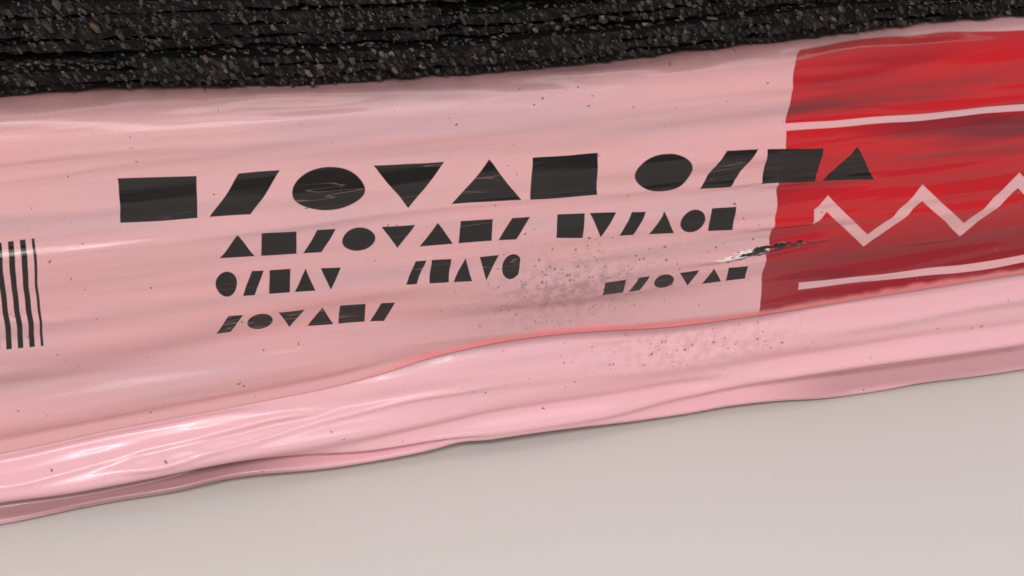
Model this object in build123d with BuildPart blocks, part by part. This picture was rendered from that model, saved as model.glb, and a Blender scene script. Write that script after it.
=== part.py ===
"""Bundle of laminated asphalt shingles in a film sleeve, with loose shingles lying on top.

Millimetres. X runs along the shingles, Y across them, Z up from the floor, and the origin is the
middle of the bundle's underside.
"""

from build123d import *
from math import sin
import os

# Laminated shingle: a full-width top ply bonded to a narrower shim ply under its butt half
shingle_length = 1000.0
ply = 2.6
cutout_depth = 140.0
bond_strip = 16.0
shim_clearance = 4.25
bend_run = 16.0

# Tabs and cut-outs of the top ply, repeated along the web that the shingles are cut from
tab_widths = (128.0, 92.0, 164.0, 110.0, 147.0, 84.0)
cutout_widths = (76.0, 121.0, 64.0, 138.0, 88.0, 106.0)
tab_flare = 5.0
shortest_cutout = 15.0
web_step = 337.0

# The stack: shingles lie in pairs, the upper one of each pair turned end for end
wrapped_pairs = 11
bare_pairs = 3
wrapped_jog_x = 1.5
wrapped_jog_y = 0.7
bare_jog_x = 2.8
bare_jog_y = 1.0
bare_skew = 0.1

# Film sleeve round the wrapped shingles
film = 0.6
side_slack = 3.4
end_slack = 4.0
side_belly = 3.0
long_edge_radius = 3.0
end_edge_radius = 2.4
window_rim = 22.0
window_radius = 15.0

# The shim runs under the cut-outs and is bonded in a strip behind them. Two shims lie side by side
# in a pair, with the lower shingle's bend between them.
shim_width = cutout_depth + bond_strip
bend_start = shim_width + shim_clearance
bend_end = bend_start + bend_run
shingle_width = bend_end + shim_clearance + shim_width
pair_height = 3 * ply
pack_height = wrapped_pairs * pair_height
turn_between_jogs = 2.4


def wander(index, reach):
    """A small uneven offset, up to reach either way, that differs from shingle to shingle."""
    return reach * sin(turn_between_jogs * index)


def cutouts(shift):
    """Left end and width of each cut-out of a shingle that starts this far along the web."""
    left = -(shift % (sum(tab_widths) + sum(cutout_widths)))
    spans = []
    while left < shingle_length:
        for tab, width in zip(tab_widths, cutout_widths):
            spans.append((left + tab, width))
            left += tab + width
    return [
        (left, width)
        for left, width in spans
        if left + width > shortest_cutout and left < shingle_length - shortest_cutout
    ]


def laminated_shingle(label, bed, shift, drop):
    """One shingle on the plane bed, its butt edge at the plane's -y side.

    The headlap half lies lower than the tabs by drop, over a short bend at mid width.
    """
    butt_corner = bed.from_local_coords((-shingle_length / 2, -shingle_width / 2, 0))
    with BuildPart() as shingle:
        with BuildSketch(Plane(butt_corner, x_dir=bed.y_dir, z_dir=bed.x_dir)):
            with BuildLine():
                Polyline(
                    (0, 0),
                    (shim_width, 0),
                    (shim_width, ply),
                    (bend_start, ply),
                    (bend_end, ply - drop),
                    (shingle_width, ply - drop),
                    (shingle_width, 2 * ply - drop),
                    (bend_end, 2 * ply - drop),
                    (bend_start, 2 * ply),
                    (0, 2 * ply),
                    close=True,
                )
            make_face()
        extrude(amount=shingle_length)
        with BuildSketch(bed.offset(2 * ply)):
            with Locations((-shingle_length / 2, -shingle_width / 2)):
                for left, width in cutouts(shift):
                    Polygon(
                        (left + tab_flare, 0),
                        (left + width - tab_flare, 0),
                        (left + width, cutout_depth),
                        (left, cutout_depth),
                    )
        extrude(amount=-ply, mode=Mode.SUBTRACT)
    shingle.part.label = label
    return shingle.part


def stack_of_shingles(name, pairs, base, jog_x, jog_y, skew, first_shift):
    """Pairs of shingles from the level base upwards, as a list with the lowest first.

    The lower one of a pair has its butt edge at the back and its headlap half bent down flat. The
    upper one has its butt edge in front and rests on the lower one's headlap and tabs.
    """
    shingles = []
    for index in range(2 * pairs):
        pair, upper = divmod(index, 2)
        level = base + pair * pair_height + upper * ply
        turn = 0 if upper else 180
        spot = Location(
            (wander(index, jog_x), wander(index + 1, jog_y), level),
            (0, 0, turn + wander(index + 2, skew)),
        )
        drop = 0 if upper else ply
        shift = first_shift + index * web_step
        label = f"{name}_{index + 1:02d}"
        shingles.append(laminated_shingle(label, Plane(spot), shift, drop))
    return shingles


def sleeve_body(wall):
    """The closed form of the sleeve, out to this far from its inner face."""
    half_width = shingle_width / 2 + side_slack + wall
    low = film - wall
    high = film + pack_height + wall
    middle = (low + high) / 2
    length = shingle_length + 2 * (end_slack + wall)
    with BuildPart() as body:
        with BuildSketch(Plane.YZ.offset(-length / 2)) as section:
            with BuildLine():
                Line((-half_width, low), (half_width, low))
                ThreePointArc((half_width, low), (half_width + side_belly, middle), (half_width, high))
                Line((half_width, high), (-half_width, high))
                ThreePointArc((-half_width, high), (-half_width - side_belly, middle), (-half_width, low))
            make_face()
            fillet(section.vertices(), long_edge_radius - film + wall)
        extrude(amount=length)
        ends = body.faces().sort_by(Axis.X)
        fillet(ends[0].edges() + ends[-1].edges(), end_edge_radius - film + wall)
    return body.part


def film_sleeve():
    """The film wrap: a closed sleeve whose ends are drawn in round an open window."""
    outside = sleeve_body(film)
    inside = sleeve_body(0)
    with BuildPart() as wrap:
        add(outside)
        add(inside, mode=Mode.SUBTRACT)
        with BuildSketch(Plane.YZ):
            with Locations((0, film + pack_height / 2)):
                RectangleRounded(
                    shingle_width - 2 * window_rim, pack_height - 2 * window_rim, window_radius
                )
        extrude(amount=shingle_length, both=True, mode=Mode.SUBTRACT)
    wrap.part.label = "film_wrap"
    return wrap.part


wrapped = stack_of_shingles(
    "shingle", wrapped_pairs, film, wrapped_jog_x, wrapped_jog_y, 0, first_shift=0
)
bare_base = film + pack_height + film
bare = stack_of_shingles(
    "bare_shingle", bare_pairs, bare_base, bare_jog_x, bare_jog_y, bare_skew, first_shift=web_step / 2
)

os.makedirs("parts", exist_ok=True)
for piece in wrapped + bare + [film_sleeve()]:
    export_step(piece, f"parts/{piece.label}.step")
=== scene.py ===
"""Looks of the shingle bundle: the printed film, the bare shingles on it, floor, lights and camera.

Lengths are written in millimetres, as in part.py, and turned into metres where a mesh is made.
"""

import math

import bmesh
import bpy
import numpy as np
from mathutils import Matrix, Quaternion, Vector


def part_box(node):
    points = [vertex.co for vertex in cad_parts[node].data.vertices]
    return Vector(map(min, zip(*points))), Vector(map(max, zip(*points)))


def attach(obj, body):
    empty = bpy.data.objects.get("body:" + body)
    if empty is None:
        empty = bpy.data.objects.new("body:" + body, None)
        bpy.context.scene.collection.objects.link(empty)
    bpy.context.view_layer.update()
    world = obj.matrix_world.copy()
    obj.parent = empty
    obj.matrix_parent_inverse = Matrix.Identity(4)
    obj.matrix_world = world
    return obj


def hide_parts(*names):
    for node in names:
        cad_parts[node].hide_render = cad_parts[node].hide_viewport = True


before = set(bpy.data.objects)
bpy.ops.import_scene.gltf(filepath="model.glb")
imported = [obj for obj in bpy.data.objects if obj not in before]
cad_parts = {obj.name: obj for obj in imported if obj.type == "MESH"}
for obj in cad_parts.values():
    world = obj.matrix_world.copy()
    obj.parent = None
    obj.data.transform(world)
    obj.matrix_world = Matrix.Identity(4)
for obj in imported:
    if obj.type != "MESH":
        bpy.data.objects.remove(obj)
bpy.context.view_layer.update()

mm = 0.001
quarter_turn = math.pi / 2

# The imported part, in millimetres
film_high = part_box("film_wrap")[1] / mm
pack_low, pack_high = (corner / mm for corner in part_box("shingle_22"))
film_top = film_high.z
half_height = film_top / 2
wrapped_nodes = [f"shingle_{number:02d}" for number in range(1, 23)]
bare_nodes = [f"bare_shingle_{number:02d}" for number in range(1, 7)]

# Where the photograph's middle lies along the bundle
view_x = -40.0

# The print's place on the film is the running distance up from the lap, over the top, down the back,
# under and up to the lap again, so on the front it is the height
corner_y = pack_low.y + 2.5
back_corner_y = 168
top_start = 87
back_start = top_start + (back_corner_y - corner_y)
back_foot = back_start + 94
panel_start = back_foot + 2 * back_corner_y + 6
middle_of_underside = 700.0
print_repeat = 330.0


# Node trees


class Field:
    """A value that varies over the surface: the output of a node, with plain arithmetic on it."""

    def __init__(self, socket):
        self.socket = socket

    def __add__(self, other):
        return maths("ADD", self, other)

    def __sub__(self, other):
        return maths("SUBTRACT", self, other)

    def __rsub__(self, other):
        return maths("SUBTRACT", other, self)

    def __mul__(self, other):
        return maths("MULTIPLY", self, other)

    def __truediv__(self, other):
        return maths("DIVIDE", self, other)

    def __lt__(self, other):
        return maths("LESS_THAN", self, other)

    def __gt__(self, other):
        return maths("GREATER_THAN", self, other)


def tree_of(*values):
    """The node tree of the first field among fields and numbers."""
    return next(value.socket.id_data for value in values if isinstance(value, Field))


def feed(socket, value):
    """Links a field to a socket, or sets the socket to a number or a colour."""
    if isinstance(value, Field):
        socket.id_data.links.new(value.socket, socket)
    else:
        socket.default_value = value


def place(tree, kind, inputs=None, **settings):
    """Adds a node, sets its properties, then feeds its inputs, given by name or number."""
    made = tree.nodes.new(kind)
    for name, value in settings.items():
        setattr(made, name, value)
    for name, value in (inputs or {}).items():
        feed(made.inputs[name], value)
    return made


def output(node, name=0):
    return Field(node.outputs[name])


def maths(operation, *values, clamp=False):
    inputs = dict(enumerate(values))
    return output(place(tree_of(*values), "ShaderNodeMath", inputs, operation=operation, use_clamp=clamp))


def blend_colour(factor, first, second, mode="MIX"):
    inputs = {"Factor": factor, 6: first, 7: second}
    made = place(tree_of(factor, first, second), "ShaderNodeMix", inputs, data_type="RGBA", blend_type=mode)
    return output(made, 2)


def ramp_between(value, low, high):
    """0 at low, 1 at high, smooth between them."""
    inputs = {"Value": value, "From Min": low, "From Max": high}
    made = place(tree_of(value), "ShaderNodeMapRange", inputs, interpolation_type="SMOOTHSTEP")
    return output(made, "Result")


def fade_between(value, low, high):
    """1 at low, 0 at high, smooth between them."""
    return 1.0 - ramp_between(value, low, high)


def noise(where, scale, detail=2.0, roughness=0.5, along=1.0, across=1.0, kind="Fac"):
    """Noise whose features are about 1 / scale wide, drawn out this many times along and across."""
    tree = tree_of(where)
    squeeze = (1 / along, 1 / across, 1 / across)
    drawn_out = output(place(tree, "ShaderNodeMapping", {"Vector": where, "Scale": squeeze}))
    inputs = {"Vector": drawn_out, "Scale": scale, "Detail": detail, "Roughness": roughness}
    return output(place(tree, "ShaderNodeTexNoise", inputs), kind)


def cells(where, scale, **settings):
    """Cells with one centre each: the distance from it, and two lots drawn for each cell."""
    made = place(tree_of(where), "ShaderNodeTexVoronoi", {"Vector": where, "Scale": scale}, **settings)
    lot = place(made.id_data, "ShaderNodeSeparateColor", {0: output(made, "Color")})
    return output(made, "Distance"), output(lot, "Red"), output(lot, "Green")


def split(where):
    made = place(tree_of(where), "ShaderNodeSeparateXYZ", {0: where})
    return output(made, "X"), output(made, "Y")


def soft_patch(u, v, centre, reach):
    """A soft oval patch: 1 at its centre, falling off over the reach each way."""
    across = (u - centre[0]) / reach[0]
    up = (v - centre[1]) / reach[1]
    return maths("EXPONENT", (across * across + up * up) * -1.0)


def node_group(name, inputs, result):
    """An empty node group with number inputs and one output. Returns it, its inputs and its end."""
    group = bpy.data.node_groups.new(name, "ShaderNodeTree")
    for label in inputs:
        group.interface.new_socket(label, in_out="INPUT", socket_type="NodeSocketFloat")
    group.interface.new_socket(result[0], in_out="OUTPUT", socket_type=result[1])
    enter = group.nodes.new("NodeGroupInput")
    leave = group.nodes.new("NodeGroupOutput")
    return group, [output(enter, label) for label in inputs], leave.inputs[0]


def new_material(name):
    """A material with a bare Principled shader. Returns the material, its tree and the shader's inputs."""
    material = bpy.data.materials.new(name)
    material.use_nodes = True
    tree = material.node_tree
    shader = next(node for node in tree.nodes if node.type == "BSDF_PRINCIPLED")
    return material, tree, shader.inputs


def bump(shader, height, distance, strength):
    inputs = {"Height": height, "Distance": distance, "Strength": strength}
    feed(shader["Normal"], output(place(tree_of(height), "ShaderNodeBump", inputs), "Normal"))


# Print on the film: rows of plain solid marks

row_inputs = ("Left", "Base", "Length", "Height", "Pitch", "Gap", "Slope", "Start", "Step")

# One row of marks a line, with its values in that order, Left from the view's middle
rows_of_marks = (
    (-80.0, 64.6, 96.5, 8.6, 16.1, 1.9, -0.045, 0.0, 3.0),
    (23.0, 59.6, 58.0, 8.2, 14.5, 1.7, -0.05, 1.0, 2.0),
    (-61.5, 55.0, 64.0, 4.9, 8.0, 1.2, -0.05, 2.0, 3.0),
    (7.0, 51.6, 41.0, 5.2, 6.84, 1.1, -0.07, 0.0, 4.0),
    (-62.0, 46.3, 25.4, 5.4, 5.08, 1.0, -0.06, 1.0, 2.0),
    (-24.0, 43.9, 24.5, 5.8, 5.08, 1.0, -0.06, 3.0, 2.0),
    (-62.0, 37.2, 37.2, 4.6, 6.2, 1.0, -0.08, 3.0, 3.0),
    (19.0, 35.0, 34.5, 3.6, 5.75, 1.1, 0.0, 0.0, 3.0),
)


def row_of_marks_group():
    """A row of solid marks in equal cells: blocks, discs, slanted bars and triangles either way up.

    Start and Step say which shape comes first and how many are skipped from one to the next.
    """
    group, given, leave = node_group("row_of_marks", ("U", "V") + row_inputs, ("Mask", "NodeSocketFloat"))
    u, v, left, base, length, height, pitch, gap, slope, start, step = given
    edge = 0.16
    slant = 0.8
    bar_width = 0.55

    along = u - left
    rise = v - base - along * slope
    cell = maths("FLOOR", along / pitch)
    across = along - (cell + 0.5) * pitch
    side = maths("ABSOLUTE", across)
    half = (pitch - gap) * 0.5
    share = rise / height
    between = maths("MINIMUM", rise, height - rise)
    half_row = height * 0.5
    squeezed = side * (half_row / half)
    up = rise - half_row
    lean = (share - 0.5) * (half * slant)
    # Each shape is a distance in millimetres, positive inside it
    block = maths("MINIMUM", half - side, between)
    disc = half_row - maths("SQRT", squeezed * squeezed + up * up)
    gable = maths("MINIMUM", rise, half * (1.0 - share) - side)
    slanted = maths("MINIMUM", half * bar_width - maths("ABSOLUTE", across - lean), between)
    funnel = maths("MINIMUM", height - rise, half * share - side)
    shapes = (block, disc, gable, slanted, funnel)
    pick = maths("FLOORED_MODULO", cell * step + start, float(len(shapes)))
    chosen = maths("COMPARE", pick, 0.0, 0.1) * block
    for number, shape in enumerate(shapes[1:], 1):
        chosen = chosen + maths("COMPARE", pick, float(number), 0.1) * shape
    inside = maths("ADD", chosen / edge, 0.5, clamp=True)
    feed(leave, inside * ((along > 0.0) * (along < length)))
    return group


def block_mask(u, v, left, right, low, high, radius=0.0):
    """A filled rectangle with round corners, as a mask."""
    edge = 0.2
    across = maths("ABSOLUTE", u - (left + right) / 2) - ((right - left) / 2 - radius)
    up = maths("ABSOLUTE", v - (low + high) / 2) - ((high - low) / 2 - radius)
    past_side = maths("MAXIMUM", across, 0.0)
    past_top = maths("MAXIMUM", up, 0.0)
    outside = maths("SQRT", past_side * past_side + past_top * past_top)
    depth = maths("MINIMUM", maths("MAXIMUM", across, up), 0.0)
    return maths("SUBTRACT", 0.5, (outside + depth - radius) / edge, clamp=True)


def black_print(u, v):
    """Mask of the black print: the rows of marks, and evenly ruled bars at their left."""
    marks = row_of_marks_group()
    bars_left, bars_right = view_x - 140.0, view_x - 94.5
    bar_pitch = 1.05
    ink = None
    for row in rows_of_marks:
        inputs = dict(zip(row_inputs, row), U=u, V=v)
        inputs["Left"] += view_x
        mask = output(place(tree_of(u), "ShaderNodeGroup", inputs, node_tree=marks), "Mask")
        ink = mask if ink is None else maths("MAXIMUM", ink, mask)
    stripe = maths("PINGPONG", u - bars_right, bar_pitch)
    ruled = maths("ADD", (0.5 - stripe) / 0.15, 0.5, clamp=True)
    return maths("MAXIMUM", ink, ruled * block_mask(u, v, bars_left, bars_right, 39.7, 63.0))


def red_print(u, v):
    """Mask of the red panel, around two pale stripes and a row of pale gables."""
    left = view_x + 57.0
    right = left + 110.0
    inset = 9.0
    panel = block_mask(u, v, left, right, 22.0, 86.0, radius=3.0)
    roof_line = v - maths("PINGPONG", u - left, 12.0) * 0.9
    gables = block_mask(u, roof_line, left + inset, right - inset, 40.0, 43.4)
    low_stripe = block_mask(u, v, left + inset, right - inset, 31.0, 32.6)
    high_stripe = block_mask(u, v, left - 5.0, right - 30.0, 70.0, 71.4)
    pale = maths("MAXIMUM", gables, maths("MAXIMUM", low_stripe, high_stripe))
    return panel * (1.0 - pale)


# Film material

salmon = (0.66, 0.355, 0.36, 1.0)
# Lilac of the painted sheen bands
sheen_lilac = (0.53, 0.345, 0.38, 1.0)
warm_pink = (0.72, 0.33, 0.34, 1.0)
# Painted lighter pink of the inner layer, for the light falling on it
painted_lit_pink = (0.83, 0.455, 0.505, 1.0)
bright_red = (0.50, 0.010, 0.015, 1.0)
burgundy = (0.19, 0.014, 0.022, 1.0)
black_ink = (0.004, 0.0035, 0.0035, 1.0)
# Pale pink of the painted crease glints on the ink
crease_glint_pink = (0.22, 0.12, 0.12, 1.0)
torn_white = (0.80, 0.68, 0.68, 1.0)
torn_black = (0.02, 0.012, 0.012, 1.0)
brown_speck = (0.16, 0.075, 0.06, 1.0)
brown_stain = (0.33, 0.18, 0.16, 1.0)
# Mauve of the darkening under the lower rows of print
mauve_under_rows = (0.40, 0.225, 0.24, 1.0)
shadowed_pink = (0.33, 0.165, 0.17, 1.0)
# Painted highlight along the lap's edge
painted_edge_glow = (0.86, 0.23, 0.235, 1.0)
# Painted shade under the bare stack
painted_stack_shade = (0.14, 0.07, 0.065, 1.0)


def film_colour(where, u, v, ink, inner):
    """Salmon film with long lilac bands of painted sheen, painted paler below the lap where the inner layer
    leans up to the light, with its red and black print.
    """
    # Painted sheen: long lilac bands stand in for the film's reflections, and the red print turns darker in
    # them too
    bands = noise(where, 0.085, detail=3.0, roughness=0.55, along=9.0)
    blotch = noise(where, 0.02, along=1.6)
    sheen_band = ramp_between(bands, 0.46, 0.66)
    warm = ramp_between(blotch, 0.42, 0.64)
    plain = blend_colour(warm * 0.5, salmon, warm_pink)
    plain = blend_colour(sheen_band * 0.55, plain, sheen_lilac)
    # Painted light: the inner layer below the lap is painted paler where it leans up to the light
    plain = blend_colour(inner * 0.75, plain, painted_lit_pink)
    plain = blend_colour(0.11, plain, noise(where, 2.2), mode="OVERLAY")

    low_down = fade_between(v, 36.0, 50.0) * 0.75
    red = blend_colour(maths("MAXIMUM", sheen_band, low_down), bright_red, burgundy)
    colour = blend_colour(red_print(u, v), plain, red)
    colour = blend_colour(ink * 0.99, colour, black_ink)

    # Painted glints: pale hairlines along creases, across the ink
    run = noise(where, 0.16, detail=3.0, roughness=0.7, along=16.0)
    off_line = maths("ABSOLUTE", run - 0.5)
    patchy = ramp_between(noise(where, 0.05, along=2.0), 0.47, 0.56)
    glint_hairline = fade_between(off_line, 0.001, 0.006) * patchy
    return blend_colour(glint_hairline * (ink * 0.6), colour, crease_glint_pink)


def torn_crease(where, u, v, colour):
    """A scuffed crease beside the panel, torn in slivers: pale at its left, black at its right."""
    middle_u, middle_v = view_x + 55.0, 42.0
    slope = 0.16
    along = (u - middle_u) / 14.0
    across = (v - (u * slope + (middle_v - slope * middle_u))) / 2.0
    far = along * along + across * across + noise(where, 1.1, detail=3.0) * 0.9
    area = fade_between(far, 0.9, 1.1)
    torn = noise(where, 0.85, detail=4.0, roughness=0.62, along=3.5)
    pale = area * ramp_between(along * -0.07 + torn, 0.46, 0.48)
    dark = area * ramp_between(along * 0.09 + torn, 0.49, 0.51)
    return blend_colour(dark, blend_colour(pale, colour, torn_white), torn_black)


def dirtied(where, u, v, ink, colour):
    """Brown specks, a few anywhere and many in two patches, with stains. Returns it and the specks."""
    patch = soft_patch(u, v, (view_x + 12.0, 37.5), (17.0, 7.5))
    rubbed = soft_patch(u, v, (view_x + 42.0, panel_start + 20.0), (24.0, 5.0))
    shake = {0: noise(where, 0.9, detail=3.0, kind="Color"), 1: (1.6, 1.6, 0), 2: where}
    shaken = output(place(tree_of(where), "ShaderNodeVectorMath", shake, operation="MULTIPLY_ADD"))
    distance, lot, size = cells(shaken, 1.15, voronoi_dimensions="2D")
    chance = patch * 0.65 + rubbed * 0.16 + 0.010
    speck = (lot < chance) * (distance < size * 0.34)
    bare_of_ink = ink * -0.85 + 1.0
    colour = blend_colour(speck * (bare_of_ink * 0.8), colour, brown_speck)
    dirty = maths("MAXIMUM", patch, rubbed * 0.42)
    stain = dirty * ramp_between(noise(where, 0.5, detail=3.0), 0.42, 0.62) * bare_of_ink
    colour = blend_colour(stain * 0.6, colour, brown_stain)
    # A broad soft mauve darkening under the lower rows of print
    darker_under_rows = soft_patch(u, v, (view_x + 10.0, 33.0), (34.0, 8.0)) * bare_of_ink
    return blend_colour(darker_under_rows * 0.45, colour, mauve_under_rows), speck


def shaded_at_lap(where, x, u, v, inner, colour):
    """The lap's edge with a painted coral highlight, the painted shadow under it, and painted shade along
    the foot of the panel.
    """
    from_lap = output(place(tree_of(where), "ShaderNodeAttribute", attribute_name="from_lap"), "Fac")
    uneven = from_lap + (noise(where, 0.16, detail=3.0) * 2.2 + -1.1)
    # Painted highlight: a coral line along the lap's edge, at the right
    edge_glow_strip = fade_between(uneven, 0.6, 2.3) * (1.0 - inner)
    open_lap = ramp_between(x, view_x - 36.0, view_x - 14.0)
    # Painted shadow on the inner layer just under the lap
    below_lap = inner * ramp_between(from_lap, -2.6, -0.9)
    # Painted shade on the band just above the lip, at the left and at the right
    above_foot = v - panel_start
    foot_shade_strip = ramp_between(above_foot, 1.2, 2.6) * fade_between(above_foot, 5.2, 8.2)
    at_left = fade_between(u, view_x - 66.0, view_x - 30.0)
    at_right = ramp_between(u, view_x + 56.0, view_x + 84.0) * 0.6
    foot = foot_shade_strip * maths("MAXIMUM", at_left, at_right) * inner
    painted_shade = maths("MAXIMUM", below_lap * (open_lap * 0.75), foot * 0.85)
    colour = blend_colour(painted_shade, colour, shadowed_pink)
    return blend_colour(edge_glow_strip * (open_lap * 0.85), colour, painted_edge_glow)


def film_relief(where, u, v):
    """Height of the fine crinkles, with finer creases where the film is stretched."""
    crinkle = noise(where, 0.35, roughness=0.45, along=12.0)
    crinkled = ramp_between(noise(where, 0.03, along=2.0), 0.42, 0.62)
    fine = noise(where, 1.6, along=3.0)
    creases = noise(where, 1.0, detail=3.0, roughness=0.6, along=16.0)
    beside_panel = soft_patch(u, v, (view_x + 56.0, 59.0), (30.0, 15.0))
    near_top = soft_patch(u, v, (view_x - 86.0, 76.0), (24.0, 7.0))
    stretched = maths("MAXIMUM", beside_panel, near_top)
    return crinkle * (crinkled * 0.8 + 0.35) + fine * 0.05 + creases * (stretched * 0.8)


def film_material():
    """Pink printed film, with its print, its dirt, its crinkles, and painted light and shade."""
    material, tree, shader = new_material("pink_film")
    metres = output(place(tree, "ShaderNodeUVMap", uv_map="print"))
    scaling = {0: metres, "Scale": 1 / mm}
    where = output(place(tree, "ShaderNodeVectorMath", scaling, operation="SCALE"))
    x, running = split(where)

    # The print's own small distortion where the film is drawn tight and slack
    pull_u, pull_v = split(noise(where, 0.06, along=2.2, kind="Color"))
    u = x + (pull_u - 0.5) * 2.2
    v = running + (pull_v - 0.5) * 2.4

    # The print repeats along the pack, and stands upright on the back as well
    on_back = (running > back_foot - 86.5) * (running < back_foot)
    first = view_x - 140.0
    u = maths("FLOORED_MODULO", u * (on_back * -2.0 + 1.0) - first, print_repeat) + first
    v = v + on_back * ((back_foot - v) - v)

    inner = running > middle_of_underside
    ink = black_print(u, v)
    colour = film_colour(where, u, v, ink, inner)
    colour = torn_crease(where, u, v, colour)
    colour, speck = dirtied(where, u, v, ink, colour)
    colour = shaded_at_lap(where, x, u, v, inner, colour)
    # Painted shade where the film goes under the bare stack, uneven, less of it at the right
    shade_under_stack = ramp_between(running, 82.0, 88.0) * fade_between(running, 100.0, 130.0)
    fainter_at_right = ramp_between(u, view_x + 55.0, view_x + 115.0) * -0.6 + 1.0
    uneven_shade = noise(where, 0.3, detail=4.0, along=2.5) * 0.5 + 0.5
    feed(shader["Base Color"], blend_colour(shade_under_stack * fainter_at_right * uneven_shade, colour, painted_stack_shade))

    smudge = noise(where, 0.12, detail=4.0, along=3.0)
    feed(shader["Roughness"], smudge * 0.24 + 0.09 + speck * 0.3)
    shader["IOR"].default_value = 1.42
    shader["Coat Weight"].default_value = 0.16
    shader["Coat Roughness"].default_value = 0.06
    bump(shader, film_relief(where, u, v), 0.0004, 0.55)
    return material


# Film sheet


def smooth_line(x, points):
    """A smooth line through a few given points (x, value), level beyond its ends."""
    xs, values = np.array(points, float).T
    slopes = np.gradient(values, xs) if len(points) > 2 else np.zeros(len(points))
    slopes[0] = slopes[-1] = 0
    x = np.clip(x, xs[0], xs[-1])
    index = np.clip(np.searchsorted(xs, x, side="right") - 1, 0, len(xs) - 2)
    span = xs[index + 1] - xs[index]
    t = (x - xs[index]) / span
    return (
        values[index] * (1 + 2 * t) * (1 - t) ** 2
        + slopes[index] * span * t * (1 - t) ** 2
        + values[index + 1] * t**2 * (3 - 2 * t)
        + slopes[index + 1] * span * t**2 * (t - 1)
    )


def smooth_step(value, start, end):
    t = np.clip((value - start) / (end - start), 0, 1)
    return t * t * (3 - 2 * t)


def ripples(x, z, long, short, height, seed):
    """Seeded uneven ripples: wavelengths about long along x and short across."""
    waves = 14
    chance = np.random.default_rng(seed)
    total = np.zeros(np.broadcast(x, z).shape)
    for _ in range(waves):
        length_x = long * chance.uniform(0.6, 2.2) * chance.choice((-1, 1))
        length_z = short * chance.uniform(0.6, 1.9)
        phase = chance.uniform(0, 2 * math.pi)
        total = total + np.sin(2 * math.pi * (x / length_x + z / length_z) + phase)
    return height * total / math.sqrt(waves / 2)


def folds(x, z, lines):
    """Outward height of listed folds. Each has its height, width, kind, fade and points (x, z).

    x is measured from the view's middle. A round fold is a soft swell or hollow and a sharp one has a
    crest. Both fade out beyond their ends, over the length of the fade.
    """
    total = np.zeros(np.broadcast(x, z).shape)
    for height, width, kind, fade, *points in lines:
        distance = z - smooth_line(x, points)
        if kind == "round":
            shape = np.exp(-((distance / width) ** 2))
        else:
            shape = np.exp(-np.abs(distance) / width)
        start, end = points[0][0], points[-1][0]
        ends = smooth_step(x, start - fade, start) * (1 - smooth_step(x, end, end + fade))
        total = total + height * shape * ends
    return total


# The lap: lower edge of the outer layer, along the front
lap_line = (
    (-260, 18), (-180, 15), (-130, 14.5), (-102, 15.6), (-84, 17.2), (-73, 18.0), (-64, 18.7),
    (-50, 19.8), (-38, 20.9), (-27, 22.8), (-17, 24.8), (-6, 26.5), (10, 27), (38, 25.2), (53, 25.4),
    (85, 27), (122, 28), (200, 26), (300, 29),
)

# Folds of the outer layer: height, width, kind, fade, points
outer_folds = (
    (0.8, 0.8, "sharp", 22, (-200, 60), (-98, 60), (-83, 60)),
    (0.45, 0.9, "sharp", 30, (-57, 60), (-29, 61), (24, 60), (55, 59)),
    (0.35, 0.6, "sharp", 14, (-130, 46), (-99, 46), (-93, 45)),
    (-2.3, 4.8, "round", 46, (-160, 28), (-101, 29.5), (-78, 32), (-55, 35), (-34, 37)),
    (0.8, 3.4, "round", 34, (-160, 20.5), (-101, 22), (-79, 24), (-58, 25.5), (-44, 26.5)),
    (-0.7, 1.3, "round", 24, (-110, 17.6), (-73, 20.2), (-50, 21.8), (-38, 22.9), (-24, 25)),
    (-1.0, 3.4, "round", 30, (-42, 33.8), (-10, 32.6), (20, 31.6)),
    (0.9, 1.8, "round", 34, (-4, 28.8), (40, 27.2), (55, 27.4), (120, 29.8)),
    (-0.9, 3.0, "round", 40, (20, 33), (60, 35), (125, 37)),
    (-0.8, 4.0, "round", 60, (-100, 74), (-60, 73), (0, 71), (60, 72)),
    (0.6, 3.0, "round", 30, (-120, 68), (-80, 66), (-40, 66)),
    (0.45, 0.7, "sharp", 10, (-100, 78.4), (-88, 79.0), (-72, 79.2)),
    (0.35, 0.8, "sharp", 12, (-96, 75.0), (-80, 76.0), (-62, 76.2)),
    (-0.6, 2.0, "round", 20, (60, 56), (90, 54), (130, 55)),
    (0.7, 1.6, "round", 20, (60, 49), (90, 47), (130, 48)),
    (0.6, 0.9, "round", 8, (46, 41), (56, 42.2), (66, 43.5)),
    (-0.6, 0.8, "round", 8, (44, 39.4), (56, 40.6), (68, 42.0)),
    (0.25, 0.7, "round", 14, (66, 73.5), (90, 72.0), (120, 72.5)),
    (0.25, 0.8, "round", 14, (70, 64.0), (95, 62.5), (125, 63.5)),
    (-0.28, 0.7, "round", 10, (62, 59.2), (80, 58.4), (104, 58.8)),
)

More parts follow.
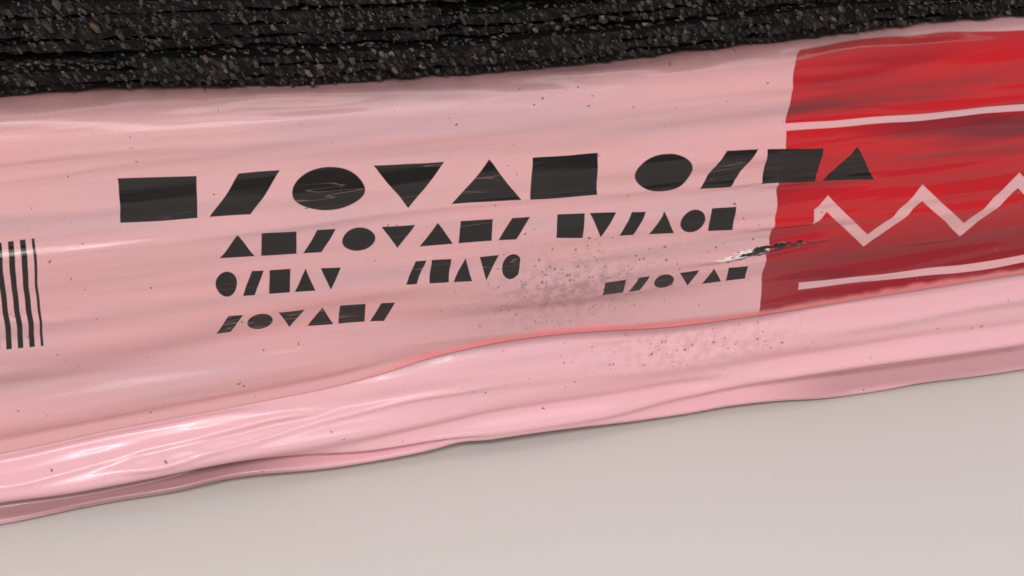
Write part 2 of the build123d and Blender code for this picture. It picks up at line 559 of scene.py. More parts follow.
# Folds of the inner layer, below the lap
inner_folds = (
    (2.4, 3.0, "round", 34, (-120, 8.4), (-104, 8.5), (-91, 8.4), (-76, 8.9), (-54, 10.0), (-35, 10.6)),
    (0.85, 0.75, "round", 12, (-104, 10.4), (-93, 11.2), (-84, 12.2), (-73, 13.5), (-58, 14.9),
     (-48, 15.8)),
    (0.8, 0.7, "round", 14, (-76, 10.4), (-64, 11.8), (-54, 12.8), (-44, 13.9), (-35, 14.8), (-15, 16.4)),
    (0.9, 0.8, "round", 7, (-78, 11.2), (-71, 12.2), (-66, 12.6)),
    (-0.8, 1.1, "round", 14, (-110, 13.4), (-84, 15.6), (-70, 16.8), (-62, 17.6)),
    (-2.5, 1.9, "round", 20, (-125, 4.4), (-103, 4.4), (-91, 3.9), (-76, 4.2), (-64, 5.0)),
    (-1.8, 1.7, "round", 26, (-20, 8.2), (0, 8.8), (25, 8.9), (40, 9.2)),
    (2.0, 2.1, "round", 22, (-27, 6.2), (8, 5.6), (34, 6.4), (60, 9.0), (83, 10.0), (125, 9.8)),
    (1.1, 4.0, "round", 40, (-10, 19), (30, 17.5), (70, 18)),
    (-1.3, 1.9, "round", 26, (70, 12.6), (95, 13.2), (125, 13.0)),
    (1.2, 2.3, "round", 22, (62, 21), (100, 20), (125, 21)),
    (-0.8, 1.5, "round", 18, (76, 24), (100, 23.6), (125, 24)),
    (-2.2, 0.8, "round", 12, (-58, 5.4), (-44, 5.0), (-35, 4.5), (-15, 4.8)),
    (-2.0, 2.5, "round", 22, (42, 5.8), (60, 6.0), (84, 5.0), (125, 5.2)),
    (1.6, 1.1, "round", 40, (-103, 1.7), (-84, 1.7), (-74, 2.0), (-64, 3.0), (-54, 3.4), (-35, 3.0),
     (12, 3.2), (41, 2.4), (125, 1.9)),
)

# Height of the film's lower front edge above the floor
lip_heights = (
    (-400, 0.2), (-160, 0.1), (-112, 0.1), (-103, 0.3), (-93, 0.5), (-83, 0.65), (-73, 0.8), (-64, 1.5),
    (-52, 1.9), (-36, 1.4), (-16, 2.0), (-5, 2.9), (6, 3.1), (18, 2.5), (30, 1.6), (42, 1.2), (54, 1.3),
    (66, 1.0), (78, 0.3), (90, 0.0), (103, 0.4), (116, 0.2), (160, 0.6), (260, 0.2), (400, 0.7),
)

front_corner = 7.2
lip_radius = 1.5
underside = 0.3
top_clearance = 0.3
back_radius = 5.0
back_shoulder = 80


def bowed(z, bow):
    """A swell over the pack's height: this much at half height, nothing at the top and the foot."""
    return bow * (1 - ((z - half_height) / half_height) ** 2)


def face_bow(z):
    """How far the pack's long side stands from the middle plane, without folds."""
    return 171.5 + bowed(z, 2.2)


def edge_wave(x):
    """Lift of the pack's top front edge and of the shingles lying there, which wave along it."""
    wave_length = 232.0
    wave_lift = 3.6
    sag = 1.4
    crest = 0.5 - 0.5 * np.cos(2 * math.pi * (x - view_x + 8.0) / wave_length)
    return (wave_lift * crest - sag) * (0.75 + 0.25 * np.cos((x - view_x) / 210.0))


def lap_gap(x):
    """How far the outer layer stands off the inner one: open at the right, pressed flat at the left."""
    return 0.12 + 0.65 * smooth_step(x - view_x, -56, -20)


def outer_face(x, z):
    local = x - view_x
    shingles_reach = 170.3
    relief = folds(local, z, outer_folds)
    relief = relief + ripples(x, z, 240, 17, 0.26, seed=5) + ripples(x, z, 90, 5.5, 0.09, seed=8)
    relief = relief + ripples(x, z, 42, 2.6, 0.035, seed=9) * (0.5 + smooth_step(local, 10, 60))
    stretched = np.exp(-(((local - 60) / 26) ** 2) - ((z - 55) / 11) ** 2)
    relief = relief + ripples(x, z, 24, 1.7, 0.075, seed=10) * stretched
    return np.maximum(face_bow(z) + 0.7 + relief, shingles_reach)


def inner_face(x, z):
    """The inner layer's face, which leans out towards its foot, more so at the left."""
    lean = (3.6 + 1.4 * smooth_step(view_x - x, 50, 100)) * smooth_step(-z, -27, -5)
    return face_bow(z) + 0.1 + lean


def inner_relief(x, z):
    relief = folds(x - view_x, z, inner_folds)
    return relief + ripples(x, z, 170, 13, 0.24, seed=21) + ripples(x, z, 60, 4.5, 0.07, seed=23)


def film_columns():
    """Places along the bundle: close together where the photograph looks, wider elsewhere."""
    length = film_high.x - 4.0
    fine = np.arange(view_x - 118, view_x + 134, 1.55)
    left = np.linspace(-length, fine[0], 46)[:-1]
    right = np.linspace(fine[-1], length, 46)[1:]
    return np.concatenate([left, fine, right])


def steps(count, end=1.0):
    """Even steps from 0, which is left out, to the end."""
    return np.linspace(0, end, count)[1:]


def film_rows(x, lap):
    """The sheet's rows from its inner end, down the front, under, up the back and over to the lap.

    Each row is (distance out, height, print place), for every column x.
    """
    rows = []

    def put(*row):
        rows.append([np.broadcast_to(value, x.shape) for value in row])

    # Panel below the lap, down to the lip. It comes out from under the outer layer at a bounded slope.
    lap_out = outer_face(x, lap) - lap_gap(x)

    def panel(z):
        steepest, rounding, shingles_reach = 0.4, 0.35, 169.5
        under_lap = outer_face(x, np.maximum(z, lap)) - lap_gap(x)
        limit = np.where(z > lap, under_lap, lap_out + steepest * np.maximum(lap - 0.4 - z, 0))
        free = inner_face(x, z)
        base = (free + limit - np.sqrt((free - limit) ** 2 + rounding**2)) / 2
        return np.maximum(base + inner_relief(x, z) * smooth_step(lap - z, 0.2, 2.2), shingles_reach)

    inner_end, layer_gap = 50, 0.45
    for share in np.linspace(0, 1, 26):
        z = inner_end + (lap + 3 - inner_end) * share
        put(-panel(z) + layer_gap * (1 - smooth_step(share, 0.9, 1.0)), z, panel_start + z)
    lift = smooth_line(x - view_x, lip_heights)
    lip_top = lip_radius + underside + lift
    for share in steps(62):
        z = (lap + 3) + (lip_top - lap - 3) * share
        put(-panel(z), z, panel_start + z)
    lip_out = -rows[-1][0]
    for angle in steps(9, quarter_turn):
        y = -(lip_out - lip_radius * (1 - math.cos(angle)))
        put(y, lip_top - lip_radius * math.sin(angle), panel_start + lip_top - lip_radius * angle)
    # Underside
    start = -(lip_out - lip_radius)
    for share in steps(34):
        y = start + (back_corner_y - start) * share
        put(y, underside + lift * (1 - smooth_step(y, -170, -120)), panel_start - 2 - (y + 170))
    # Back, round its two edges
    back = 174.6 + ripples(x, 0 * x, 300, 40, 0.4, seed=31)
    back_out = back - 2.0
    for angle in steps(7, quarter_turn):
        y = back_corner_y + (back_out - back_corner_y) * math.sin(angle)
        put(y, underside + back_radius * (1 - math.cos(angle)), back_foot + 6 - back_radius * angle)
    for share in steps(34):
        z = (underside + back_radius) + (back_shoulder - underside - back_radius) * share
        relief = bowed(z, 2.0) + ripples(x, z, 200, 14, 0.35, seed=33)
        hold = smooth_step(share, 0, 0.1) * (1 - smooth_step(share, 0.9, 1.0))
        put(back_out + relief * hold, z, back_foot - z)
    top = film_top - top_clearance
    for angle in steps(8, quarter_turn):
        y = back_corner_y + (back_out - back_corner_y) * math.cos(angle)
        z = back_shoulder + (top - back_shoulder) * math.sin(angle)
        put(y, z, back_start + 10 - 6.5 * angle)
    # Top, then over the front edge
    wave = edge_wave(x)
    for share in steps(34):
        y = back_corner_y + (corner_y - back_corner_y) * share
        put(y, top + wave * smooth_step(-y, 110, -corner_y), top_start + y - corner_y)
    low = film_top - front_corner
    out = outer_face(x, np.full_like(x, low))
    for angle in steps(20, quarter_turn):
        relief = ripples(x, angle * 8, 120, 8, 0.16, seed=41) + ripples(x, angle * 8, 40, 5, 0.09, seed=43)
        relief = relief * math.sin(2 * angle)
        reach = (out + corner_y) * math.sin(angle)
        z = low + (top - low + wave) * math.cos(angle) + relief
        put(corner_y - reach - relief, z, low + front_corner * math.cos(angle))
    # Front, down to the lap
    for share in steps(124):
        z = low + (lap - low) * share
        put(-outer_face(x, z), z, z)
    # The lap's own edge curls in
    edge_out = -rows[-1][0]
    curl = 0.55
    for angle in (0.6, 1.2, 1.8, 2.4):
        put(-(edge_out - curl * (1 - math.cos(angle))), lap - curl * math.sin(angle), lap - curl * angle)
    return rows


def placed(name, mesh):
    """A new object in the scene with this mesh."""
    made = bpy.data.objects.new(name, mesh)
    bpy.context.scene.collection.objects.link(made)
    return made


def film_sheet():
    """One sheet of film wound once round the pack, lapped on the front, its ends drawn in."""
    x = film_columns()
    lap = smooth_line(x - view_x, lap_line)
    rows = film_rows(x, lap)
    y, z, v = (np.array(values) for values in zip(*rows))
    row_number = np.arange(len(rows))

    # Height above the lap's edge, negative on the inner layer below it
    outer_front = row_number[:, None] > len(rows) - 140
    far_from_lap = 60.0
    from_lap = np.where(v > panel_start, v - panel_start - lap, far_from_lap)
    from_lap = np.where(outer_front, v - lap, from_lap)

    # Ends: round the edge, then in towards the open window
    reach = 3.2
    turn = [(reach * math.sin(a), reach * (1 - math.cos(a))) for a in (0.4, 0.8, 1.2, 1.57)]
    draw_in = turn + [(reach - 0.02 * inset, inset) for inset in (6, 9, 12, 15, 18, 20.5, 22)]

    def end_columns(column, side):
        """Columns beyond one end of the sheet: x, y, z, print place across and running."""
        for out, inset in draw_in:
            pleat = (np.sin(row_number * 0.9) * 0.35 + np.sin(row_number * 0.37) * 0.5) * inset / 22
            past_turn = 1 if out >= reach - 0.5 else 0
            yield (
                side * (abs(x[column]) + out + pleat * past_turn),
                y[:, column] * (1 - inset / 172.0),
                half_height + (z[:, column] - half_height) * (1 - inset / half_height),
                np.full(len(rows), x[column] + side * (out + inset)),
                v[:, column],
            )

    across = np.broadcast_to(x, y.shape)
    left = list(end_columns(0, -1))[::-1]
    right = list(end_columns(-1, 1))
    stacks = zip(*left, (across, y, z, across, v), *right)
    all_x, all_y, all_z, all_u, all_v = (np.column_stack(stack) for stack in stacks)
    all_from_lap = np.pad(from_lap, ((0, 0), (len(draw_in), len(draw_in))), mode="edge")

    count = all_x.shape[1]
    points = np.stack([all_x, all_y, all_z], axis=-1).reshape(-1, 3) * mm
    first = (np.arange(len(rows) - 1)[:, None] * count + np.arange(count - 1)[None, :]).ravel()
    faces = np.stack([first, first + count, first + count + 1, first + 1], axis=-1)
    mesh = bpy.data.meshes.new("film_sheet")
    mesh.from_pydata(points.tolist(), [], faces.tolist())
    print_places = np.stack([all_u.ravel(), all_v.ravel()], axis=-1)[faces.ravel()] * mm
    mesh.uv_layers.new(name="print").data.foreach_set("uv", print_places.ravel())
    mesh.attributes.new("from_lap", "FLOAT", "POINT").data.foreach_set("value", all_from_lap.ravel())
    mesh.polygons.foreach_set("use_smooth", [True] * len(mesh.polygons))
    return placed("film_sheet", mesh)


# Bare shingles, built as part.py builds them

shingle_length = 1000.0
ply = 2.6
cutout_depth = 140.0
tab_widths = (128.0, 92.0, 164.0, 110.0, 147.0, 84.0)
cutout_widths = (76.0, 121.0, 64.0, 138.0, 88.0, 106.0)
tab_flare = 5.0
shortest_cutout = 15.0
web_step = 337.0
turn_between_jogs = 2.4
shim_width = 156.0
bend_start = 160.25
bend_end = 176.25
shingle_width = 336.5


def wander(index, reach):
    """The same small uneven offset as in part.py."""
    return reach * math.sin(turn_between_jogs * index)


def cutouts(shift):
    """Left end and width of each cut-out of a shingle that starts this far along the web."""
    left = -(shift % (sum(tab_widths) + sum(cutout_widths)))
    spans = []
    while left < shingle_length:
        for tab, width in zip(tab_widths, cutout_widths):
            spans.append((left + tab, width))
            left += tab + width
    return [
        (left, width)
        for left, width in spans
        if left + width > shortest_cutout and left < shingle_length - shortest_cutout
    ]


def take_up(*pieces):
    """Selects these pieces and nothing else. The last one is active."""
    if bpy.context.object and bpy.context.object.mode != "OBJECT":
        bpy.ops.object.mode_set(mode="OBJECT")
    bpy.ops.object.select_all(action="DESELECT")
    for piece in pieces:
        piece.select_set(True)
        bpy.context.view_layer.objects.active = piece


def pick(piece, kind, test):
    """In edit mode, selects the faces or edges that pass a test, and nothing else."""
    bpy.ops.mesh.select_mode(type=kind)
    bpy.ops.mesh.select_all(action="DESELECT")
    shape = bmesh.from_edit_mesh(piece.data)
    for thing in shape.faces if kind == "FACE" else shape.edges:
        if test(thing):
            thing.select_set(True)
    shape.select_flush_mode()
    bmesh.update_edit_mesh(piece.data)


def slab(name, depth, low, notches):
    """One ply: a sheet this deep from the butt edge, its notches cut out, extruded one ply up.

    X is from the shingle's middle and Y from its butt edge, as it lies before it is placed.
    """
    take_up()
    bpy.ops.mesh.primitive_grid_add(
        x_subdivisions=50,
        y_subdivisions=max(6, round(depth / 14)),
        size=1.0,
        location=(0, depth / 2 * mm, low * mm),
    )
    piece = bpy.context.object
    piece.name = name
    piece.scale = (shingle_length * mm, depth * mm, 1)
    bpy.ops.object.transform_apply(location=True, rotation=True, scale=True)
    bpy.ops.object.mode_set(mode="EDIT")
    if notches:
        bpy.ops.mesh.select_all(action="SELECT")
        bpy.ops.mesh.bisect(plane_co=(0, cutout_depth * mm, 0), plane_no=(0, 1, 0))
    for left, width in notches:
        left -= shingle_length / 2
        right = left + width
        for foot, top in ((left + tab_flare, left), (right - tab_flare, right)):

            def near_side(face):
                spot = face.calc_center_median() / mm
                return spot.y < cutout_depth and abs(spot.x - foot) < 30

            pick(piece, "FACE", near_side)
            bpy.ops.mesh.bisect(plane_co=(foot * mm, 0, 0), plane_no=(cutout_depth, foot - top, 0))

        def inside(face):
            spot = face.calc_center_median() / mm
            lean = tab_flare * (1 - spot.y / cutout_depth)
            return spot.y < cutout_depth and left + lean < spot.x < right - lean

        pick(piece, "FACE", inside)
        bpy.ops.mesh.delete(type="FACE")
    bpy.ops.mesh.select_mode(type="FACE")
    bpy.ops.mesh.select_all(action="SELECT")
    bpy.ops.mesh.extrude_region_move(TRANSFORM_OT_translate={"value": (0, 0, ply * mm)})
    bpy.ops.mesh.select_all(action="SELECT")
    bpy.ops.mesh.normals_make_consistent(inside=False)

    # Cut edges need close vertices: along the rim, then up the wall
    def rise(edge):
        return abs(edge.verts[0].co.z - edge.verts[1].co.z) / mm

    def rim(edge):
        return rise(edge) < 0.5 and any(abs(face.normal.z) < 0.5 for face in edge.link_faces)

    pick(piece, "EDGE", rim)
    bpy.ops.mesh.subdivide(number_cuts=9)
    pick(piece, "EDGE", lambda edge: rise(edge) > 2)
    bpy.ops.mesh.subdivide(number_cuts=3)
    bpy.ops.object.mode_set(mode="OBJECT")
    number_by_place(piece)
    return piece


def number_by_place(piece):
    """Rebuilds a ply's mesh with its points and faces numbered by their place.

    Some operators number them differently in each run, and the grains are drawn face by face.
    """
    mesh = piece.data
    points = vertex_array(mesh)
    order = np.lexsort(points.T.round(3))
    rank = np.argsort(order)
    faces = []
    for face in mesh.polygons:
        corners = rank[list(face.vertices)].tolist()
        first = corners.index(min(corners))
        faces.append(corners[first:] + corners[:first])
    mesh.clear_geometry()
    mesh.from_pydata((points[order] * mm).tolist(), [], sorted(faces))


def cut_edge_vertices(piece):
    """Numbers of the vertices on the walls, found by their faces' normals."""
    found = set()
    for face in piece.data.polygons:
        if abs(face.normal.z) < 0.5:
            found.update(face.vertices)
    return sorted(found)


def vertex_array(mesh):
    flat = np.empty(len(mesh.vertices) * 3)
    mesh.vertices.foreach_get("co", flat)
    return flat.reshape(-1, 3) / mm


def set_vertices(mesh, points):
    mesh.vertices.foreach_set("co", (points * mm).ravel())
    mesh.update()


def roughen(piece, grain, strength):
    """Displaces the cut edge's points along their normals by clouds of this grain, and applies it."""
    texture = bpy.data.textures.new(f"{piece.name}_clouds", "CLOUDS")
    texture.noise_scale = grain * mm
    modifier = piece.modifiers.new("rough", "DISPLACE")
    modifier.texture = texture
    modifier.texture_coords = "LOCAL"
    modifier.strength = strength * mm
    modifier.mid_level = 0.5
    modifier.vertex_group = "cut_edge"
    bpy.ops.object.modifier_apply(modifier=modifier.name)


def pinch_walls(points, walls, is_top, is_upper, seed):
    """Thins a ply's cut edge unevenly about its middle, except where it is bonded to the other ply."""
    across = points[walls, 1]
    heights = points[walls, 2]
    foot = ply if is_top else 0.0
    if is_top and not is_upper:
        foot = np.where(across > (bend_start + bend_end) / 2, 0.0, ply)
    middle = foot + ply / 2
    pinch = 0.58 + 0.2 * ripples(points[walls, 0], across, 60, 60, 1.0, seed=seed)
    toward_bond = (heights < middle) if is_top else (heights > middle)
    pinch = np.where(toward_bond & (across < shim_width), 0.96, np.clip(pinch, 0.36, 0.92))
    points[walls, 2] = middle + (heights - middle) * pinch


def laminate(name, index, base, first_shift, jogs, wave_share):
    """One shingle in its place, as part.py stacks them: shim and top ply with rough, waving cut edges.

    Jogs are its uneven offsets along and across and its turn. Wave share is how much of the front
    edge's wave it follows.
    """
    jog_x, jog_y, skew = jogs
    seed = 10 * int(base) + index
    pair, upper = divmod(index, 2)
    shim = slab(f"{name}_shim", shim_width, 0.0, [])
    top = slab(name, shingle_width, ply, cutouts(first_shift + index * web_step))
    if not upper:
        points = vertex_array(top.data)
        points[:, 2] -= ply * np.clip((points[:, 1] - bend_start) / (bend_end - bend_start), 0, 1)
        set_vertices(top.data, points)

    level = base + pair * 3 * ply + upper * ply
    turn = (0 if upper else 180) + wander(index + 2, skew)
    for layer, piece in enumerate((shim, top)):
        walls = cut_edge_vertices(piece)
        points = vertex_array(piece.data)
        pinch_walls(points, walls, bool(layer), bool(upper), 200 + 2 * seed + layer)
        set_vertices(piece.data, points)
        # The butt edge is at y = 0 in the piece, and half a width in front of the middle in place
        points = vertex_array(piece.data)
        points[:, 1] -= shingle_width / 2
        set_vertices(piece.data, points)
        piece.vertex_groups.new(name="cut_edge").add(walls, 1.0, "REPLACE")
        piece.location = (wander(index, jog_x) * mm, wander(index + 1, jog_y) * mm, level * mm)
        piece.rotation_euler.z = math.radians(turn)
        take_up(piece)
        bpy.ops.object.transform_apply(location=True, rotation=True, scale=True)
        roughen(piece, 6.0, 1.7)
        roughen(piece, 1.6, 1.1)
        piece.data.materials.append(granule_face)
        piece.data.materials.append(cut_edge)
        on_wall = [int(abs(face.normal.z) < 0.6) for face in piece.data.polygons]
        piece.data.polygons.foreach_set("material_index", on_wall)

    join(top, shim)
    points = vertex_array(top.data)
    near_front = smooth_step(-points[:, 1], 110, 165)
    on_film = base == film_top
    clear_of_film = 0.0 if on_film else 0.9
    points[:, 2] += (wave_share * edge_wave(points[:, 0]) - clear_of_film) * near_front
    if on_film:
        sag = ripples(points[:, 0], points[:, 1], 170, 300, 0.16, seed=300 + seed)
        points[:, 2] += np.abs(sag) * smooth_step(np.abs(points[:, 1]), 120, 165)
    set_vertices(top.data, points)
    take_up(top)
    bpy.ops.object.shade_smooth_by_angle(angle=math.radians(45))
    return top


# Mineral grains

view_reach = 126

# Ways the knife drags the grains: down to the right on the long sides, and back along the ends
long_side_drag = [[0.6, 0.0, -0.8]]
end_drag = [[0.0, 0.6, -0.8]]
upper_face_drag = [[0.8, -0.6, 0.0]]


def spots_behind_edge(piece, rng):
    """Random spots on a shingle's upper faces, just behind the front edge where the photograph looks."""
    reach, a_square_millimetre = 4.4, 0.55
    above = 0.3
    count = int(2 * view_reach * reach * a_square_millimetre)
    across = view_x + 8 + rng.uniform(-view_reach, view_reach, count)
    back = -shingle_width / 2 + 0.2 + rng.uniform(0, reach, count)
    found = []
    for x, y in zip(across, back):
        hit, spot, normal, _ = piece.ray_cast((x * mm, y * mm, above), (0, 0, -1))
        if hit and normal.z > 0.7:
            found.append(spot[:])
    return np.array(found).reshape(-1, 3) / mm


def spots_on_edge(piece, rng):
    """Random spots on a shingle's cut edges, with the wall's normal and lowest point at each."""
    in_view_density, elsewhere_density = 1.05, 0.11
    walls = [face for face in piece.data.polygons if face.material_index == 1]
    centres = np.array([face.center[:] for face in walls]) / mm
    normals = np.array([face.normal[:] for face in walls])
    areas = np.array([face.area for face in walls]) / mm**2
    columns = (centres[:, 0] - centres[:, 0].min()).astype(int) * 2 + (centres[:, 1] > 0)
    lowest = np.full(columns.max() + 1, np.inf)
    feet = [min(piece.data.vertices[corner].co.z for corner in face.vertices) / mm for face in walls]
    np.minimum.at(lowest, columns, feet)
    in_view = (np.abs(centres[:, 0] - view_x - 8) < view_reach + 2) & (centres[:, 1] < -150)
    counts = rng.poisson(areas * np.where(in_view, in_view_density, elsewhere_density))
    chosen = np.repeat(np.arange(len(walls)), counts)
    spread = np.sqrt(areas[chosen])[:, None] * rng.uniform(-0.5, 0.5, (len(chosen), 3))
    sunk = normals[chosen] * rng.uniform(-0.25, 0.12, (len(chosen), 1))
    return centres[chosen] + spread + sunk, normals[chosen], lowest[columns[chosen]]


def grain_ball():
    """Points and triangles of the plain ball that every grain is squashed from."""
    take_up()
    bpy.ops.mesh.primitive_ico_sphere_add(subdivisions=1, radius=1.0, location=(0, 0, 0))
    pattern = bpy.context.object
    ball = np.array([vertex.co[:] for vertex in pattern.data.vertices])
    triangles = np.array([face.vertices[:] for face in pattern.data.polygons])
    bpy.data.objects.remove(pattern)
    return ball, triangles


def mineral_grains(piece, number):
    """Mineral granules held in a shingle's cut edges: many where the photograph looks, fewer elsewhere."""
    overhang = 0.12
    rng = np.random.default_rng(500 + number)
    on_edge, wall_normals, lowest = spots_on_edge(piece, rng)
    on_faces = spots_behind_edge(piece, rng)
    spots = np.concatenate([on_edge, on_faces])
    facing = np.concatenate([wall_normals, np.tile([0.0, 0.0, 1.0], (len(on_faces), 1))])
    floor_line = np.concatenate([lowest - overhang, np.full(len(on_faces), -np.inf)])

    ball, triangles = grain_ball()
    count = len(spots)
    size = 0.24 + 0.42 * rng.random(count) ** 2.5
    uneven = 1 + rng.uniform(-0.28, 0.28, (count, len(ball), 1))
    squash = rng.uniform(0.55, 1.25, (count, 1, 3))
    turned = ball[None] * uneven * squash
    angle = rng.uniform(0, 2 * math.pi, (count, 3))
    for which, (first, second) in enumerate(((0, 1), (1, 2), (0, 2))):
        cos, sin = np.cos(angle[:, which])[:, None], np.sin(angle[:, which])[:, None]
        a, b = turned[:, :, first].copy(), turned[:, :, second].copy()
        turned[:, :, first] = cos * a - sin * b
        turned[:, :, second] = sin * a + cos * b
    along = np.where(np.abs(facing[:, 1:2]) > 0.5, long_side_drag, end_drag)
    along = np.where(facing[:, 2:3] > 0.9, upper_face_drag, along)
    reach = (turned * along[:, None, :]).sum(axis=2, keepdims=True)
    turned = turned + along[:, None, :] * reach * rng.uniform(0.2, 1.3, (count, 1, 1))
    points = turned * size[:, None, None] + spots[:, None, :]
    points[:, :, 2] = np.maximum(points[:, :, 2], floor_line[:, None])
    points = points.reshape(-1, 3) * mm
    faces = (triangles[None] + (np.arange(count) * len(ball))[:, None, None]).reshape(-1, 3)
    mesh = bpy.data.meshes.new(f"grains_{number:02d}")
    mesh.from_pydata(points.tolist(), [], faces.tolist())
    tones = np.repeat(rng.random(count) ** 2.6, len(ball))
    mesh.attributes.new("grain_tone", "FLOAT", "POINT").data.foreach_set("value", tones)
    return placed(mesh.name, mesh)


def join(first, second):
    """Joins the second piece into the first, which keeps its name."""
    take_up(second, first)
    bpy.ops.object.join()
    return first


# Asphalt materials

pitch_black = (0.012, 0.011, 0.010, 1)
# Pitch on the rims, also painted shade in the gaps between plies
pitch_and_gap_shade = (0.002, 0.0018, 0.0015, 1)
cut_black = (0.0025, 0.002, 0.002, 1)
cut_grey = (0.031, 0.0215, 0.0170, 1)
warm_tint = (0.75, 0.58, 0.46, 1)
dark_dust = (0.008, 0.007, 0.006, 1)


def granule_tones_group():
    """Grey, brown, beige and olive tones of mineral granules, picked by a value from 0 to 1."""
    group, given, leave = node_group("granule_tones", ("Value",), ("Tone", "NodeSocketColor"))
    ramp = place(group, "ShaderNodeValToRGB", {0: given[0]})
    stops = [
        (0.0, (0.018, 0.017, 0.016, 1)),
        (0.35, (0.045, 0.044, 0.042, 1)),
        (0.55, (0.085, 0.078, 0.07, 1)),
        (0.68, (0.075, 0.078, 0.055, 1)),
        (0.8, (0.13, 0.095, 0.07, 1)),
        (0.92, (0.20, 0.18, 0.145, 1)),
        (1.0, (0.34, 0.31, 0.27, 1)),
    ]
    first, last = ramp.color_ramp.elements
    first.color, last.color = stops[0][1], stops[-1][1]
    for position, colour in stops[1:-1]:
        ramp.color_ramp.elements.new(position).color = colour
    feed(leave, output(ramp, "Color"))
    return group


def granule_tone(value):
    return output(place(tree_of(value), "ShaderNodeGroup", {"Value": value}, node_tree=granule_tones))


def object_places(tree):
    return output(place(tree, "ShaderNodeTexCoord"), "Object")


def granule_face_material():
    """The weather face: mineral granules pressed close together, in blended light and dark drops."""
    material, tree, shader = new_material("granule_face")
    where = object_places(tree)
    distance, lot, _ = cells(where, 750.0)
    light = ramp_between(noise(where, 6.0, detail=1.0, across=3.0), 0.44, 0.56)
    tone = granule_tone(lot * (light * 0.35 + 0.6))
    covered = blend_colour(ramp_between(distance, 0.35, 0.75) * 0.7, tone, pitch_black)
    # Near-black rims: pitch smeared over the rim by the knife, and painted shade for the gaps between the
    # plies
    x, y = split(where)
    ragged = noise(where, 180.0, detail=3.0) * 0.0016
    long_rim_shade = ramp_between(maths("ABSOLUTE", y) + ragged, 0.1655, 0.1668)
    short_rim_shade = ramp_between(maths("ABSOLUTE", x) + ragged, 0.4972, 0.4985)
    feed(shader["Base Color"], blend_colour(maths("MAXIMUM", long_rim_shade, short_rim_shade), covered, pitch_and_gap_shade))
    shader["Roughness"].default_value = 0.8
    shader["Specular IOR Level"].default_value = 0.15
    bump(shader, distance, -0.0007, 0.8)
    return material


def cut_edge_material():
    """Knife-cut edge: black asphalt and mat, dragged in slanting streaks, with a few grains in it."""
    material, tree, shader = new_material("cut_edge")
    where = object_places(tree)
    tilt = {"Vector": where, "Rotation": (0, math.radians(-48), 0)}
    slant = output(place(tree, "ShaderNodeMapping", tilt))
    streaks = noise(slant, 1300.0, detail=3.0, roughness=0.6, along=3.4)
    lumps = noise(where, 420.0, detail=4.0, roughness=0.65)
    shade = streaks * 0.6 + lumps * 0.4
    feed(shader["Base Color"], blend_colour(ramp_between(shade, 0.46, 0.64), cut_black, cut_grey))
    shader["Roughness"].default_value = 0.7
    shader["Specular IOR Level"].default_value = 0.16
    bump(shader, shade, 0.0014, 1.0)
    return material


def grain_material():
    """Loose mineral grains in the cut edges, one tone each."""
    material, tree, shader = new_material("mineral_grain")
    tone = output(place(tree, "ShaderNodeAttribute", attribute_name="grain_tone"), "Fac")
    dust = noise(object_places(tree), 1500.0)
    colour = blend_colour(1.0, granule_tone(tone * 0.9), warm_tint, mode="MULTIPLY")
    feed(shader["Base Color"], blend_colour(dust * 0.6, colour, dark_dust))
    shader["Roughness"].default_value = 0.5
    return material


# Camera, lights and floor


def camera():
    """At the photograph's place: from the front left, above the bundle, rolled a little."""
    elevation, azimuth, roll = math.radians(32), math.radians(21.39), math.radians(4.97)
    distance = 369.0
    target = Vector((view_x, -172.0, 38.66)) * mm
    level = math.cos(elevation)
    forward = Vector((math.sin(azimuth) * level, math.cos(azimuth) * level, -math.sin(elevation)))
    bpy.ops.object.camera_add(location=target - forward * distance * mm)
    made = bpy.context.object
    made.name = "photo_camera"
    made.rotation_mode = "QUATERNION"
    made.rotation_quaternion = forward.to_track_quat("-Z", "Y") @ Quaternion((0, 0, 1), roll)
    made.data.lens = 62.9
    made.data.clip_start = 0.02
    bpy.context.scene.camera = made


def area_light(name, spot, aim, size, power, colour):
    bpy.ops.object.light_add(type="AREA", location=spot)
    lamp = bpy.context.object
    lamp.name = name
    lamp.data.shape = "RECTANGLE"
    lamp.data.size, lamp.data.size_y = size
    lamp.data.energy = power
    lamp.data.color = colour
    lamp.rotation_euler = (Vector(aim) - Vector(spot)).to_track_quat("-Z", "Y").to_euler()


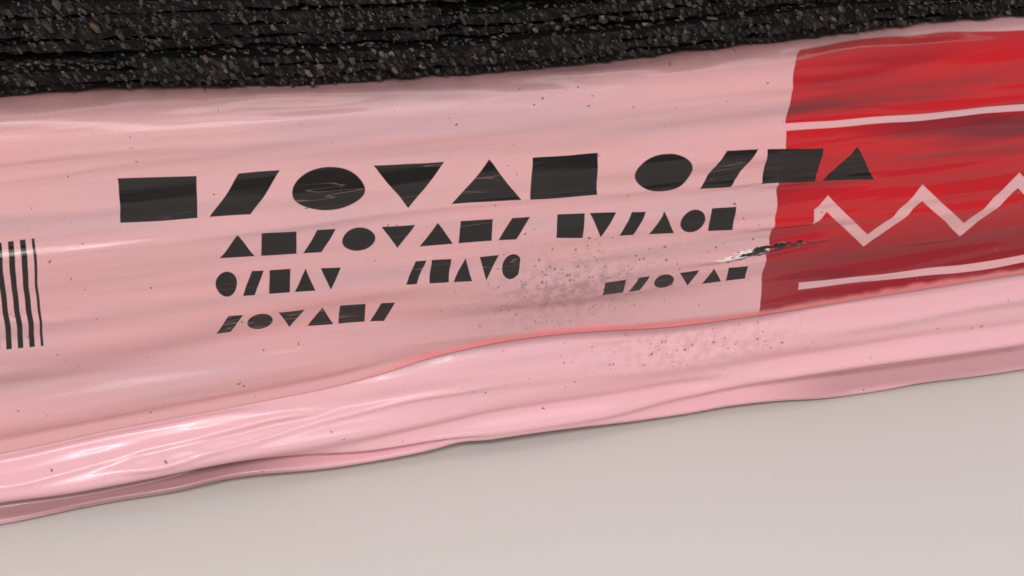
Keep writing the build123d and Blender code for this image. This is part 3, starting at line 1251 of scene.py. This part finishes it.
def lights():
    """A pale room with three soft lamps, and two small ones for the film's glints. In metres."""
    world = bpy.data.worlds.new("pale_room")
    bpy.context.scene.world = world
    world.use_nodes = True
    sky = world.node_tree.nodes["Background"]
    sky.inputs["Color"].default_value = (0.93, 0.96, 1.0, 1.0)
    sky.inputs["Strength"].default_value = 0.24
    shown_side = (view_x * mm, -0.17, 0.03)
    area_light("soft_key", (-0.35, -1.6, 1.25), (0, -0.15, 0.03), (1.6, 0.95), 15.5, (1.0, 0.975, 0.95))
    area_light("soft_top", (0.1, 0.1, 1.5), (0, 0, 0.05), (1.8, 0.9), 10, (0.92, 0.95, 1.0))
    area_light("glint", (-0.62, -1.0, 1.0), shown_side, (0.16, 0.10), 2.6, (1.0, 0.98, 0.94))
    area_light("strip", (-0.5, -1.4, 1.3), shown_side, (1.1, 0.09), 9.5, (0.97, 0.975, 1.0))
    area_light("soft_back", (0.3, 1.6, 1.2), (0, 0.15, 0.03), (1.5, 0.6), 26, (1.0, 0.98, 0.96))


def floor():
    bpy.ops.mesh.primitive_plane_add(size=12.0, location=(0, 0, 0))
    ground = bpy.context.object
    ground.name = "floor"
    material, _, shader = new_material("pale_floor")
    shader["Base Color"].default_value = (0.60, 0.57, 0.53, 1.0)
    shader["Roughness"].default_value = 0.7
    ground.data.materials.append(material)


bpy.ops.object.select_all(action="DESELECT")
bpy.context.scene.view_settings.view_transform = "Standard"
camera()
lights()
floor()

granule_tones = granule_tones_group()
granule_face = granule_face_material()
cut_edge = cut_edge_material()
mineral_grain = grain_material()
for name in wrapped_nodes:
    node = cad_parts[name]
    node.data.materials.clear()
    node.data.materials.append(cut_edge)

# The pack's top shingles follow its waving front edge
for name, wave_share in zip(wrapped_nodes[-4:], (0.5, 0.5, 1.0, 1.0)):
    index = wrapped_nodes.index(name)
    piece = laminate(f"edge_{name}", index, film_top - pack_high.z, 0.0, (1.5, 0.7, 0.0), wave_share)
    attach(piece, "root")
    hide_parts(name)

for number, name in enumerate(bare_nodes):
    piece = laminate(f"loose_{name}", number, film_top, web_step / 2, (2.8, 1.0, 0.1), 1.0)
    grains = mineral_grains(piece, number)
    grains.data.materials.append(mineral_grain)
    piece = join(piece, grains)
    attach(piece, "root")
    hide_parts(name)

sheet = film_sheet()
sheet.data.materials.append(film_material())
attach(sheet, "root")
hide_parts("film_wrap")
